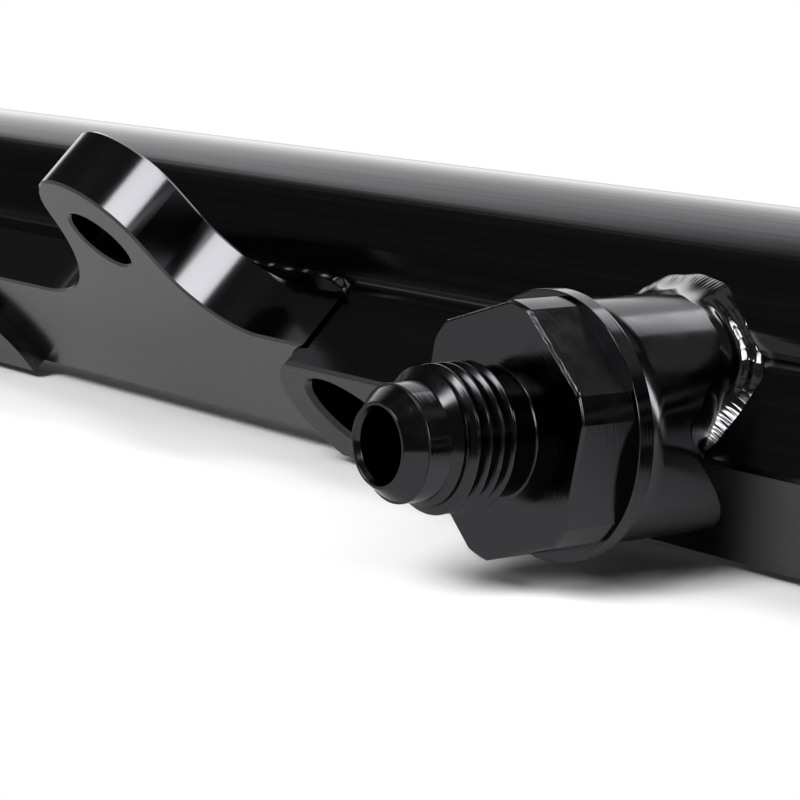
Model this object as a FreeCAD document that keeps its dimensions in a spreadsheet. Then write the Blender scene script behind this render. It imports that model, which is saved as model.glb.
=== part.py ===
import FreeCAD, Part
import math
import os
import Sketcher
from FreeCAD import Placement, Rotation, Vector

# Fuel rail of a four cylinder engine, in millimetres.
# +X runs along the rail and +Z points away from the injectors, which plug in from below.
# The origin lies midway between the two bracket bolt holes, on the underside of the brackets.
# The bracket arms and the fuel inlet are on the -Y side.

document = FreeCAD.newDocument("fuel_rail")
sheet = document.addObject("Spreadsheet::Sheet", "Sizes")

sizes = {
    # Extruded rail: a round fuel gallery on top of a narrower rectangular block.
    "rail_overhang": 24.0,
    "block_width": 18.8,
    "gallery_height": 21.3,
    "tube_radius": 13.6,
    "gallery_radius": 8.0,
    "flank_fillet": 2.5,
    "edge_break": 0.4,
    # Injector pockets, bored into the underside of the block.
    "injector_pitch": 99.0,
    "injector_count": 4,
    "pocket_radius": 7.0,
    "pocket_roof": 1.3,
    "pocket_lead_in": 0.6,
    "pocket_feed_radius": 3.5,
    # Mounting brackets, let into seats that are milled across the underside.
    "bolt_past_injector": 32.6,
    "bolt_to_injectors": 23.6,
    "bolt_hole_radius": 4.5,
    "bracket_below_gallery": 10.5,
    "bracket_recess": 2.4,
    "bracket_proud": 0.4,
    "bracket_edge": 0.3,
    "arm_tip_radius": 8.8,
    "arm_tip_inward": 1.0,
    "arm_tip_beyond": 1.6,
    "arm_root_radius": 10.0,
    "arm_sweep_radius": 24.0,
    "boss_margin": 3.8,
    "boss_shift": 2.9,
    "seat_gap": 0.1,
    "bracket_bead_radius": 4.0,
    "bracket_bead_inward": 28.5,
    "bracket_bead_outward": 22.0,
    # Fuel inlet: a turned bung, welded across the lower front corner of the rail.
    "port_offset": 3.1,
    "port_angle": 45.0,
    "port_aim_depth": 12.4,
    "bung_radius": 12.0,
    "bung_reach": 21.8,
    "bung_length": 16.9,
    "bung_gap": 0.05,
    "bung_rim": 1.5,
    "bung_rim_length": 2.3,
    "bung_bead_height": 2.4,
    "bung_bead_width": 1.1,
    "bung_bead_step": 0.45,
    "port_thread_radius": 9.5,
    "port_thread_depth": 13.5,
    "port_seat_radius": 10.4,
    "port_seat_depth": 2.2,
    "port_drill_radius": 5.0,
    "port_drill_past": 4.0,
    # Flared hose adapter that screws into the bung.
    "nose_bore_radius": 3.75,
    "nose_radius": 4.05,
    "flare_angle": 37.0,
    "flare_base_radius": 5.45,
    "collar_radius": 5.65,
    "collar_length": 2.5,
    "hose_thread_radius": 7.1,
    "hose_thread_depth": 0.87,
    "hose_thread_pitch": 1.411,
    "hose_thread_turns": 5,
    "hose_neck_radius": 6.1,
    "hose_end_length": 14.1,
    "hex_flats": 23.6,
    "hex_corner_radius": 12.9,
    "hex_length": 6.3,
    "hex_turn": 17.0,
    "hex_front_break": 0.3,
    "flange_radius": 13.25,
    "flange_thickness": 1.8,
    "flange_gap": 0.4,
    "shank_length": 12.6,
    "shank_clearance": 0.08,
    "shank_neck_length": 2.3,
    "shank_neck_depth": 1.3,
    "seal_width": 1.9,
    "seal_clearance": 0.05,
    # Plugs that close the two ends of the gallery.
    "plug_head_radius": 12.2,
    "plug_head_length": 4.2,
    "plug_socket_flats": 9.5,
    "plug_socket_depth": 7.0,
    "plug_shank_length": 12.0,
    "plug_edge": 0.8,
}

for row, (alias, value) in enumerate(sizes.items(), start=1):
    sheet.set("A%d" % row, alias)
    sheet.set("B%d" % row, str(value))
    sheet.setAlias("B%d" % row, alias)
document.recompute()


def size(alias):
    return float(sheet.get(alias))


def originPlane(body, role):
    for feature in body.Origin.OriginFeatures:
        if feature.Role == role:
            return feature


def addBody(name):
    body = document.addObject("PartDesign::Body", name)
    body.Label = name
    return body


def addSketch(body, name, role, base=("0", "0", "0"), turnAxis=Vector(0, 0, 1), turn="0"):
    # base and turn are expressions of the sheet, in the plane's own axes.
    sketch = body.newObject("Sketcher::SketchObject", name)
    sketch.AttachmentSupport = (originPlane(body, role), [""])
    sketch.MapMode = "FlatFace"
    sketch.AttachmentOffset = Placement(Vector(), Rotation(turnAxis, 1))
    for letter, expression in zip("xyz", base):
        sketch.setExpression("AttachmentOffset.Base." + letter, "1 mm * (%s)" % expression)
    sketch.setExpression("AttachmentOffset.Rotation.Angle", "1 deg * (%s)" % turn)
    return sketch


def drawPolygon(sketch, points):
    corners = [Vector(x, y, 0) for x, y in points]
    for start, end in zip(corners, corners[1:] + corners[:1]):
        sketch.addGeometry(Part.LineSegment(start, end))


def drawCircle(sketch, x, y, alias):
    circle = sketch.addGeometry(Part.Circle(Vector(x, y, 0), Vector(0, 0, 1), size(alias)))
    constraint = sketch.addConstraint(Sketcher.Constraint("Radius", circle, size(alias)))
    sketch.setExpression("Constraints[%d]" % constraint, "Sizes." + alias)


def arcThrough(centre, radius, start, end, clockwise):
    # A circular arc from the direction of start to the direction of end.
    first = math.atan2(start[1] - centre[1], start[0] - centre[0])
    last = math.atan2(end[1] - centre[1], end[0] - centre[0])
    if clockwise:
        first, last = last, first
    if last < first:
        last += 2 * math.pi
    circle = Part.Circle(Vector(centre[0], centre[1], 0), Vector(0, 0, 1), radius)
    return Part.ArcOfCircle(circle, first, last)


def line(start, end):
    return Part.LineSegment(Vector(start[0], start[1], 0), Vector(end[0], end[1], 0))


def hexagon(flats, turn):
    # Corners of a hexagon of a given width across its flats, the first at the angle turn.
    reach = flats / math.sqrt(3)
    angles = [math.radians(turn + 60 * index) for index in range(6)]
    return [(reach * math.cos(angle), reach * math.sin(angle)) for angle in angles]


def addFeature(body, kind, name, profile):
    feature = body.newObject("PartDesign::" + kind, name)
    feature.Profile = profile
    return feature


def edgesWhere(shape, wanted):
    return ["Edge%d" % (index + 1) for index, edge in enumerate(shape.Edges) if wanted(edge)]


def addChamfer(body, name, base, wanted, expression):
    document.recompute()
    chamfer = body.newObject("PartDesign::Chamfer", name)
    chamfer.Base = (base, edgesWhere(base.Shape, wanted))
    chamfer.setExpression("Size", expression)
    return chamfer


def checkCut(feature, before, what):
    document.recompute()
    if not feature.Shape.Volume < before - 0.01:
        raise RuntimeError(what + " removed nothing")


# Places that several pieces share.
injectorRow = size("bolt_to_injectors")
blockHalf = size("block_width") / 2
blockFront = injectorRow - blockHalf
blockBack = injectorRow + blockHalf
injectorFace = -size("bracket_recess")
galleryZ = injectorFace + size("gallery_height")
bracketFront = blockFront - size("bracket_proud")
bossY = injectorRow + size("boss_shift")
boltX = size("injector_pitch") / 2 + size("bolt_past_injector")
railHalf = size("injector_pitch") * (size("injector_count") - 1) / 2 + size("rail_overhang")
railHalfExpression = "(Sizes.injector_pitch * (Sizes.injector_count - 1) / 2 + Sizes.rail_overhang)"
galleryZExpression = "Sizes.gallery_height - Sizes.bracket_recess"
bracketTop = galleryZ - size("bracket_below_gallery")
bracketTopExpression = galleryZExpression + " - Sizes.bracket_below_gallery"
portBase = (
    "Sizes.bolt_to_injectors",
    "Sizes.port_aim_depth - Sizes.bracket_recess",
    "Sizes.port_offset",
)
portTurn = "180 - Sizes.port_angle"
hexReach = "(Sizes.bung_reach + Sizes.flange_gap + Sizes.flange_thickness + Sizes.hex_length)"
hexBase = (
    "Sizes.port_offset",
    "Sizes.bolt_to_injectors - %s * sin(Sizes.port_angle * 1 deg)" % hexReach,
    "Sizes.port_aim_depth - Sizes.bracket_recess - %s * cos(Sizes.port_angle * 1 deg)" % hexReach,
)

# Distances along the port axis, outwards from the point that it aims at.
bungMouth = size("bung_reach")
bungSeat = bungMouth - size("bung_length")
flangeBack = bungMouth + size("flange_gap")
hexBack = flangeBack + size("flange_thickness")
hexFront = hexBack + size("hex_length")
noseTip = hexFront + size("hose_end_length")


def injectorPlaces():
    count = int(size("injector_count"))
    return [(index - (count - 1) / 2) * size("injector_pitch") for index in range(count)]


def railOutline(grow):
    # Closed outline of the rail's section in Y and Z, with everything but its underside grown.
    half = blockHalf + grow
    radius = size("tube_radius") + grow
    fillet = size("flank_fillet")
    broken = size("edge_break")
    # The fillet's centre is one fillet radius outside both the block's side and the tube.
    aside = half + fillet
    below = math.sqrt((radius + fillet) ** 2 - aside ** 2)
    share = radius / (radius + fillet)
    left = injectorRow - half
    right = injectorRow + half
    filletLeft = (injectorRow - aside, galleryZ - below)
    filletRight = (injectorRow + aside, galleryZ - below)
    sideLeft = (left, galleryZ - below)
    sideRight = (right, galleryZ - below)
    tubeLeft = (injectorRow - aside * share, galleryZ - below * share)
    tubeRight = (injectorRow + aside * share, galleryZ - below * share)
    corners = [
        (left, injectorFace + broken),
        (left + broken, injectorFace),
        (right - broken, injectorFace),
        (right, injectorFace + broken),
    ]
    return [
        line(sideLeft, corners[0]),
        line(corners[0], corners[1]),
        line(corners[1], corners[2]),
        line(corners[2], corners[3]),
        line(corners[3], sideRight),
        arcThrough(filletRight, fillet, sideRight, tubeRight, True),
        arcThrough((injectorRow, galleryZ), radius, tubeRight, tubeLeft, False),
        arcThrough(filletLeft, fillet, tubeLeft, sideLeft, True),
    ]


def seatArc(bossX, gap, side):
    # Edge of a bracket seat round an injector boss, from the front of the block to its back.
    # side is the way from the boss to the seat, -1 or 1.
    radius = blockHalf + size("boss_margin") + gap
    front = bracketFront
    reachFront = math.sqrt(radius ** 2 - (bossY - front) ** 2)
    reachBack = math.sqrt(radius ** 2 - (blockBack - bossY) ** 2)
    start = (bossX + side * reachFront, front)
    end = (bossX + side * reachBack, blockBack)
    return arcThrough((bossX, bossY), radius, start, end, side < 0), start, end


def bracketOutline(side):
    # Outline of one bracket in X and Y: an arm with a round tip and a foot across the block.
    # side is -1 for the left bracket, and the right one is its mirror image.
    inner = injectorPlaces()[1] if side < 0 else injectorPlaces()[2]
    outer = injectorPlaces()[0] if side < 0 else injectorPlaces()[3]
    gap = size("seat_gap")
    innerArc, innerFront, innerBack = seatArc(inner, gap, side)
    outerArc, outerFront, outerBack = seatArc(outer, gap, -side)
    tip = size("arm_tip_radius")
    root = size("arm_root_radius")
    sweep = size("arm_sweep_radius")
    # The tip circle stands a little outside the bolt hole, towards the middle of the rail.
    tipX = side * (boltX - size("arm_tip_inward"))
    tipY = -size("arm_tip_beyond")
    # The inner flank runs straight back from the tip and turns into the foot with one arc.
    flankX = tipX - side * tip
    rootStart = (flankX, bracketFront - root)
    rootEnd = (flankX - side * root, bracketFront)
    rootCentre = (flankX - side * root, bracketFront - root)
    # The outer flank is one arc that touches the tip circle and the foot's front edge.
    sweepY = bracketFront - sweep
    away = math.sqrt((tip + sweep) ** 2 - (sweepY - tipY) ** 2)
    sweepCentre = (tipX + side * away, sweepY)
    sweepEnd = (tipX + side * away, bracketFront)
    share = tip / (tip + sweep)
    sweepStart = (tipX + side * away * share, tipY + (sweepY - tipY) * share)
    return [
        arcThrough((tipX, tipY), tip, (flankX, tipY), sweepStart, side < 0),
        arcThrough(sweepCentre, sweep, sweepStart, sweepEnd, side > 0),
        line(sweepEnd, outerFront),
        outerArc,
        line(outerBack, innerBack),
        innerArc,
        line(innerFront, rootEnd),
        arcThrough(rootCentre, root, rootEnd, rootStart, side > 0),
        line(rootStart, (flankX, tipY)),
    ]


def makeRail():
    body = addBody("rail_body")
    section = addSketch(body, "rail_section", "YZ_Plane")
    for piece in railOutline(0):
        section.addGeometry(piece)
    drawCircle(section, injectorRow, galleryZ, "gallery_radius")
    extrusion = addFeature(body, "Pad", "rail_extrusion", section)
    extrusion.SideType = "Symmetric"
    extrusion.setExpression("Length", "2 * " + railHalfExpression)
    document.recompute()

    underside = ("0", "0", "-Sizes.bracket_recess")
    volume = body.Shape.Volume
    seats = addSketch(body, "seat_outline", "XY_Plane", underside)
    places = injectorPlaces()
    beyond = blockBack + size("bracket_proud")
    for side, inner, outer in ((-1, places[1], places[0]), (1, places[2], places[3])):
        innerArc, innerFront, innerBack = seatArc(inner, 0, side)
        outerArc, outerFront, outerBack = seatArc(outer, 0, -side)
        seats.addGeometry(innerArc)
        seats.addGeometry(outerArc)
        seats.addGeometry(line(innerFront, outerFront))
        seats.addGeometry(line(innerBack, (innerBack[0], beyond)))
        seats.addGeometry(line((innerBack[0], beyond), (outerBack[0], beyond)))
        seats.addGeometry(line((outerBack[0], beyond), outerBack))
    seat = addFeature(body, "Pocket", "bracket_seats", seats)
    seat.Reversed = True
    seat.setExpression("Length", "Sizes.gallery_height - Sizes.bracket_below_gallery")
    checkCut(body, volume, "bracket seats")

    volume = body.Shape.Volume
    mouths = addSketch(body, "pocket_circles", "XY_Plane", underside)
    for place in places:
        drawCircle(mouths, place, injectorRow, "pocket_radius")
    pockets = addFeature(body, "Pocket", "injector_pockets", mouths)
    pockets.Reversed = True
    pockets.setExpression("Length", "Sizes.gallery_height - Sizes.gallery_radius - Sizes.pocket_roof")
    checkCut(body, volume, "injector pockets")

    volume = body.Shape.Volume
    feeds = addSketch(body, "feed_circles", "XY_Plane", underside)
    for place in places:
        drawCircle(feeds, place, injectorRow, "pocket_feed_radius")
    feed = addFeature(body, "Pocket", "injector_feeds", feeds)
    feed.Reversed = True
    feed.setExpression("Length", "Sizes.gallery_height")
    checkCut(body, volume, "injector feeds")

    volume = body.Shape.Volume
    saddle = addSketch(body, "saddle_profile", "YZ_Plane", portBase, turn=portTurn)
    saddleRadius = size("bung_radius") + size("bung_gap")
    drill = size("port_drill_radius")
    drillEnd = -size("port_drill_past")
    drawPolygon(saddle, [
        (0, drillEnd),
        (drill, drillEnd),
        (drill, bungSeat),
        (saddleRadius, bungSeat),
        (saddleRadius, bungMouth),
        (0, bungMouth),
    ])
    groove = addFeature(body, "Groove", "bung_saddle", saddle)
    groove.ReferenceAxis = (saddle, ["V_Axis"])
    groove.Angle = 360
    checkCut(body, volume, "bung saddle")

    volume = body.Shape.Volume
    ends = addSketch(body, "end_ports", "XZ_Plane", ("0", galleryZExpression, "-Sizes.bolt_to_injectors"))
    portRadius = size("port_thread_radius")
    seatRadius = size("port_seat_radius")
    for side in (-1, 1):
        drawPolygon(ends, [
            (side * (railHalf - size("port_thread_depth")), 0),
            (side * (railHalf - size("port_thread_depth")), portRadius),
            (side * (railHalf - size("port_seat_depth")), portRadius),
            (side * (railHalf - size("port_seat_depth")), seatRadius),
            (side * railHalf, seatRadius),
            (side * railHalf, 0),
        ])
    endCut = addFeature(body, "Groove", "end_port_bores", ends)
    endCut.ReferenceAxis = (ends, ["H_Axis"])
    endCut.Angle = 360
    checkCut(body, volume, "end ports")

    def isPocketMouth(edge):
        isRound = isinstance(edge.Curve, Part.Circle) and abs(edge.Curve.Radius - size("pocket_radius")) < 0.01
        return isRound and abs(edge.BoundBox.ZMax - injectorFace) < 0.01

    addChamfer(body, "pocket_lead_ins", endCut, isPocketMouth, "Sizes.pocket_lead_in")
    return body


def makeBracket(name, side):
    body = addBody(name)
    outline = addSketch(body, name + "_outline", "XY_Plane")
    for piece in bracketOutline(side):
        outline.addGeometry(piece)
    drawCircle(outline, side * boltX, 0, "bolt_hole_radius")
    plate = addFeature(body, "Pad", name + "_plate", outline)
    plate.setExpression("Length", bracketTopExpression)

    def isFree(edge):
        level = edge.BoundBox.ZMax - edge.BoundBox.ZMin < 0.01
        return level and edge.BoundBox.YMin < bracketFront - 0.1

    addChamfer(body, name + "_edges", plate, isFree, "Sizes.bracket_edge")
    return body


def extrudeAlongX(pieces, start, end):
    face = Part.Face(Part.Wire(Part.__sortEdges__([piece.toShape() for piece in pieces])))
    # The outline is drawn in a plane whose x and y are the rail's Y and Z.
    face.Placement = Placement(Vector(start, 0, 0), Rotation(Vector(1, 1, 1), 120))
    return face.extrude(Vector(end - start, 0, 0))


def makeBracketWeld(name, side):
    # A fillet of weld in the corner between the back of the arm and the rail's flank.
    radius = size("bracket_bead_radius")
    ends = (side * (boltX - size("bracket_bead_inward")), side * (boltX + size("bracket_bead_outward")))
    start = min(ends)
    length = max(ends) - start
    rod = Part.makeCylinder(radius, length, Vector(start, blockFront, bracketTop), Vector(1, 0, 0))
    edges = [piece.toShape() for piece in bracketOutline(side)]
    footprint = Part.Face(Part.Wire(Part.__sortEdges__(edges)))
    footprint.translate(Vector(0, 0, bracketTop))
    over = footprint.extrude(Vector(0, 0, 2 * radius))
    bead = rod.common(over).cut(extrudeAlongX(railOutline(0), -railHalf, railHalf))
    weld = document.addObject("Part::Feature", name)
    weld.Label = name
    weld.Shape = bead
    return weld


def portPlacement():
    # Local z runs out along the port axis from its aim point, and local x along the rail.
    aim = Vector(size("port_offset"), injectorRow, injectorFace + size("port_aim_depth"))
    return Placement(aim, Rotation(Vector(1, 0, 0), 180 - size("port_angle")))


def makeBung():
    body = addBody("inlet_bung")
    profile = addSketch(body, "bung_profile", "YZ_Plane", portBase, turn=portTurn)
    outer = size("bung_radius")
    thread = size("port_thread_radius")
    threadEnd = bungMouth - size("port_thread_depth")
    drill = size("port_drill_radius")
    drawPolygon(profile, [
        (drill, bungSeat),
        (outer, bungSeat),
        (outer, bungMouth - size("bung_rim_length")),
        (outer - size("bung_rim"), bungMouth),
        (size("port_seat_radius"), bungMouth),
        (size("port_seat_radius"), bungMouth - size("port_seat_depth")),
        (thread, bungMouth - size("port_seat_depth")),
        (thread, threadEnd),
        (drill, threadEnd),
    ])
    turned = addFeature(body, "Revolution", "bung_turning", profile)
    turned.ReferenceAxis = (profile, ["V_Axis"])
    turned.Angle = 360
    return body


def makeBungWeld():
    # The bead fills the corner between the bung and the rail, and ends at the rail's underside.
    # Two nested steps round its crown from the bung's side to the rail's side.
    height = size("bung_bead_height")
    width = size("bung_bead_width")
    outer = size("bung_radius")
    placement = portPlacement()

    def rod(radius):
        cylinder = Part.makeCylinder(radius, bungMouth)
        cylinder.Placement = placement
        return cylinder

    reach = outer + 2 * width
    start = size("port_offset") - reach
    end = size("port_offset") + reach
    bead = None
    share = size("bung_bead_step")
    for along, across in ((share, 1), (1, share)):
        step = rod(outer + width * across).common(extrudeAlongX(railOutline(height * along), start, end))
        bead = step if bead is None else bead.fuse(step)
    bead = bead.cut(rod(outer)).cut(extrudeAlongX(railOutline(0), start, end))
    bead = max(bead.Solids, key=lambda solid: solid.Volume)
    weld = document.addObject("Part::Feature", "inlet_bung_weld")
    weld.Label = "inlet_bung_weld"
    weld.Shape = bead.removeSplitter()
    return weld


def makeAdapter():
    body = addBody("inlet_adapter")
    profile = addSketch(body, "adapter_profile", "YZ_Plane", portBase, turn=portTurn)
    bore = size("nose_bore_radius")
    nose = size("nose_radius")
    flare = size("flare_base_radius")
    collar = size("collar_radius")
    crest = size("hose_thread_radius")
    root = crest - size("hose_thread_depth")
    neck = size("hose_neck_radius")
    pitch = size("hose_thread_pitch")
    corner = size("hex_corner_radius")
    broken = size("hex_front_break")
    flange = size("flange_radius")
    shank = size("port_thread_radius") - size("shank_clearance")
    shankNeck = size("port_thread_radius") - size("shank_neck_depth")
    shankNeckEnd = flangeBack - size("shank_neck_length")
    shankEnd = flangeBack - size("shank_length")
    flareEnd = noseTip - (flare - nose) / math.tan(math.radians(size("flare_angle")))
    collarEnd = flareEnd - size("collar_length")
    points = [(bore, noseTip), (nose, noseTip), (flare, flareEnd), (collar, flareEnd), (collar, collarEnd)]
    # Thread ridges, each a sharp crest between two roots.
    for turn in range(int(size("hose_thread_turns"))):
        top = collarEnd - turn * pitch
        points += [(root, top), (crest, top - pitch / 2)]
    threadEnd = collarEnd - int(size("hose_thread_turns")) * pitch
    points += [
        (root, threadEnd),
        (neck, threadEnd),
        (neck, hexFront),
        (corner - broken, hexFront),
        (corner, hexFront - broken),
        (corner, hexBack),
        (flange, hexBack),
        (flange, flangeBack),
        (shankNeck, flangeBack),
        (shankNeck, shankNeckEnd),
        (shank, shankNeckEnd),
        (shank, shankEnd),
        (bore, shankEnd),
    ]
    drawPolygon(profile, points)
    turned = addFeature(body, "Revolution", "adapter_turning", profile)
    turned.ReferenceAxis = (profile, ["V_Axis"])
    turned.Angle = 360
    document.recompute()

    volume = body.Shape.Volume
    flats = addSketch(body, "hex_flats_outline", "XY_Plane", hexBase, Vector(1, 0, 0), portTurn)
    drawPolygon(flats, hexagon(size("hex_flats"), size("hex_turn")))
    flats.addGeometry(Part.Circle(Vector(0, 0, 0), Vector(0, 0, 1), flange + 1))
    milled = addFeature(body, "Pocket", "hex_milling", flats)
    milled.setExpression("Length", "Sizes.hex_length")
    checkCut(body, volume, "hex milling")
    return body


def makeSeal(name, placement):
    # A sealing ring, squeezed to a rectangular section between a thread's neck and its seat.
    clearance = size("seal_clearance")
    inner = size("port_thread_radius") - size("shank_neck_depth") + clearance
    outer = size("port_seat_radius") - clearance
    width = size("seal_width")
    ring = Part.makeCylinder(outer, width).cut(Part.makeCylinder(inner, width))
    seal = document.addObject("Part::Feature", name)
    seal.Label = name
    seal.Shape = ring
    seal.Placement = placement
    return seal


def makeAdapterSeal():
    along = portPlacement()
    base = along.multVec(Vector(0, 0, flangeBack - size("seal_width")))
    return makeSeal("inlet_o_ring", Placement(base, along.Rotation))


def makePlug(name, side):
    # A headed plug with a hex socket, screwed in up to its head.
    body = addBody(name)
    profile = addSketch(body, name + "_profile", "XZ_Plane", ("0", galleryZExpression, "-Sizes.bolt_to_injectors"))
    headBack = railHalf + size("flange_gap")
    headFront = headBack + size("plug_head_length")
    shankEnd = headBack - size("plug_shank_length")
    neckEnd = headBack - size("shank_neck_length")
    head = size("plug_head_radius")
    edge = size("plug_edge")
    shank = size("port_thread_radius") - size("shank_clearance")
    neck = size("port_thread_radius") - size("shank_neck_depth")
    points = [
        (headFront, 0),
        (headFront, head - edge),
        (headFront - edge, head),
        (headBack, head),
        (headBack, neck),
        (neckEnd, neck),
        (neckEnd, shank),
        (shankEnd, shank),
        (shankEnd, 0),
    ]
    drawPolygon(profile, [(side * x, radius) for x, radius in points])
    turned = addFeature(body, "Revolution", name + "_turning", profile)
    turned.ReferenceAxis = (profile, ["H_Axis"])
    turned.Angle = 360
    document.recompute()

    volume = body.Shape.Volume
    face = "(%s + Sizes.flange_gap + Sizes.plug_head_length)" % railHalfExpression
    base = ("Sizes.bolt_to_injectors", galleryZExpression, "%d * %s" % (side, face))
    socket = addSketch(body, name + "_socket_outline", "YZ_Plane", base)
    drawPolygon(socket, hexagon(size("plug_socket_flats"), 0))
    pocket = addFeature(body, "Pocket", name + "_socket", socket)
    pocket.Reversed = side < 0
    pocket.setExpression("Length", "Sizes.plug_socket_depth")
    checkCut(body, volume, "plug socket")
    return body


def makePlugSeal(name, side):
    base = Vector(side * (railHalf + size("flange_gap") - size("seal_width")), injectorRow, galleryZ)
    return makeSeal(name, Placement(base, Rotation(Vector(0, 1, 0), side * 90)))


pieces = [
    makeRail(),
    makeBracket("bracket_left", -1),
    makeBracket("bracket_right", 1),
    makeBracketWeld("bracket_left_weld", -1),
    makeBracketWeld("bracket_right_weld", 1),
    makeBung(),
    makeBungWeld(),
    makeAdapter(),
    makeAdapterSeal(),
    makePlug("end_plug_left", -1),
    makePlug("end_plug_right", 1),
    makePlugSeal("end_plug_left_o_ring", -1),
    makePlugSeal("end_plug_right_o_ring", 1),
]
document.recompute()

for item in document.Objects:
    if "Invalid" in item.State or "Error" in item.State:
        raise RuntimeError(item.Label + " failed to build")
for piece in pieces:
    if piece.Shape.isNull() or not piece.Shape.isValid() or len(piece.Shape.Solids) != 1:
        raise RuntimeError(piece.Label + " is not one valid solid")

os.makedirs("parts", exist_ok=True)
for piece in pieces:
    piece.Shape.exportStep("parts/" + piece.Label + ".step")
    print(piece.Label, round(piece.Shape.Volume), "mm3")
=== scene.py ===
import math

import bmesh
import bpy
import numpy as np
from mathutils import Matrix


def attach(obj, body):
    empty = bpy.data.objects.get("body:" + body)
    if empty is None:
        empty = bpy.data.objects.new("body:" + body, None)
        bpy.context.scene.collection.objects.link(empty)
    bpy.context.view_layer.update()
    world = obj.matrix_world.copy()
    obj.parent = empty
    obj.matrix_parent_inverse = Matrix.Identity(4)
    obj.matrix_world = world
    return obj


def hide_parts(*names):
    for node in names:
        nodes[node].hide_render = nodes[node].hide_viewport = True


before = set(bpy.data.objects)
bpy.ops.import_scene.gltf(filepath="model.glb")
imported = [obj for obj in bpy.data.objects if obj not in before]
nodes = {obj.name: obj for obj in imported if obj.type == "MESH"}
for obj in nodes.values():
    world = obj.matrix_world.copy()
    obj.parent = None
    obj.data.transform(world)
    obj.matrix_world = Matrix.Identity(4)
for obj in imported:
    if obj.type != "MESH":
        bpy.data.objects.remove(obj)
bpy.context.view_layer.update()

# Fuel rail with its inlet fitting. Lengths are in millimetres until a mesh is filled.
# Row frame: X along the rail, Z away from the injectors, bracket arms and inlet towards -Y.
millimetre = 0.001  # metres

railSection = {
    "row": 23.6,  # how far behind the origin the tube and the injectors lie
    "galleryZ": 18.9,
    "underside": -2.4,
    "blockHalf": 9.4,  # half the block's width
    "tubeRadius": 13.6,
    "filletRadius": 2.5,
    "samples": {"under": 40, "flank": 40, "hollow": 24, "crown": 90},
}

# The inlet's axis leans 45 degrees. Its frame is (along the rail, up from the table, out of the
# rail), and it starts at the aim, a point inside the rail.
lean = math.sqrt(0.5)
portAim = np.array([3.1, railSection["row"], 10.0])
portAxes = np.array([[1.0, 0.0, 0.0], [0.0, -lean, lean], [0.0, -lean, -lean]])


cameraSet = {
    "place": (0.209799, -0.147271, -0.095338),  # metres, as near and far are
    "right": (0.593500, 0.555795, 0.582108),
    "up": (-0.141423, -0.639993, 0.755254),
    "back": (0.792311, -0.530567, -0.301234),
    "lens": 127.306,
    "sensor": 36.0,
    "near": 0.01,
    "far": 20.0,
}


def matrixFrom(columns):
    # The 4 by 4 matrix whose columns are three directions and a place.
    return Matrix([[column[k] for column in columns] for k in range(3)] + [[0, 0, 0, 1]])


def addCamera(values):
    # Columns of the matrix are the picture's right, its up and the way from the scene to the
    # camera, then the camera's place.
    data = bpy.data.cameras.new("productCamera")
    data.lens = values["lens"]
    data.sensor_width = values["sensor"]
    data.clip_start = values["near"]
    data.clip_end = values["far"]
    camera = bpy.data.objects.new("productCamera", data)
    bpy.context.scene.collection.objects.link(camera)
    camera.matrix_world = matrixFrom([values[key] for key in ("right", "up", "back", "place")])
    bpy.context.scene.camera = camera


addCamera(cameraSet)
print("camera set")


def linearColour(code):
    # sRGB hex to linear red, green, blue and alpha.
    parts = np.array([int(code[k:k + 2], 16) for k in (1, 3, 5)]) / 255
    linear = np.where(parts <= 0.04045, parts / 12.92, ((parts + 0.055) / 1.055) ** 2.4)
    return (*linear.tolist(), 1.0)


def addNode(tree, kind, inputs=None, **settings):
    # One node with its settings. Each input is a plain value or the socket that feeds it.
    node = tree.nodes.new(kind)
    for key, value in settings.items():
        setattr(node, key, value)
    for key, value in (inputs or {}).items():
        if isinstance(value, bpy.types.NodeSocket):
            tree.links.new(value, node.inputs[key])
        else:
            node.inputs[key].default_value = value
    return node


def newMaterial(name):
    # A material with nothing but its output, and its node tree.
    material = bpy.data.materials.new(name)
    material.use_nodes = True
    tree = material.node_tree
    tree.nodes.clear()
    return material, tree, addNode(tree, "ShaderNodeOutputMaterial")


def gridQuads(rows, columns, wrapRows=False, wrapColumns=False):
    # Corner numbers of every cell of a grid of points that is stored row after row.
    i = np.arange(rows if wrapRows else rows - 1)[:, None]
    j = np.arange(columns if wrapColumns else columns - 1)[None, :]
    below, right = (i + 1) % rows, (j + 1) % columns
    corners = [
        i * columns + j,
        i * columns + right,
        below * columns + right,
        below * columns + j,
    ]
    return np.stack(corners, -1).reshape(-1, 4)


pieceMesh = {
    "mergeWithin": 1e-7,  # metres between corners that become one
    "emptyEdge": 1e-8,  # metres, the length of an edge that is dropped
    "sharpAngle": 35,  # degrees
}


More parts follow.
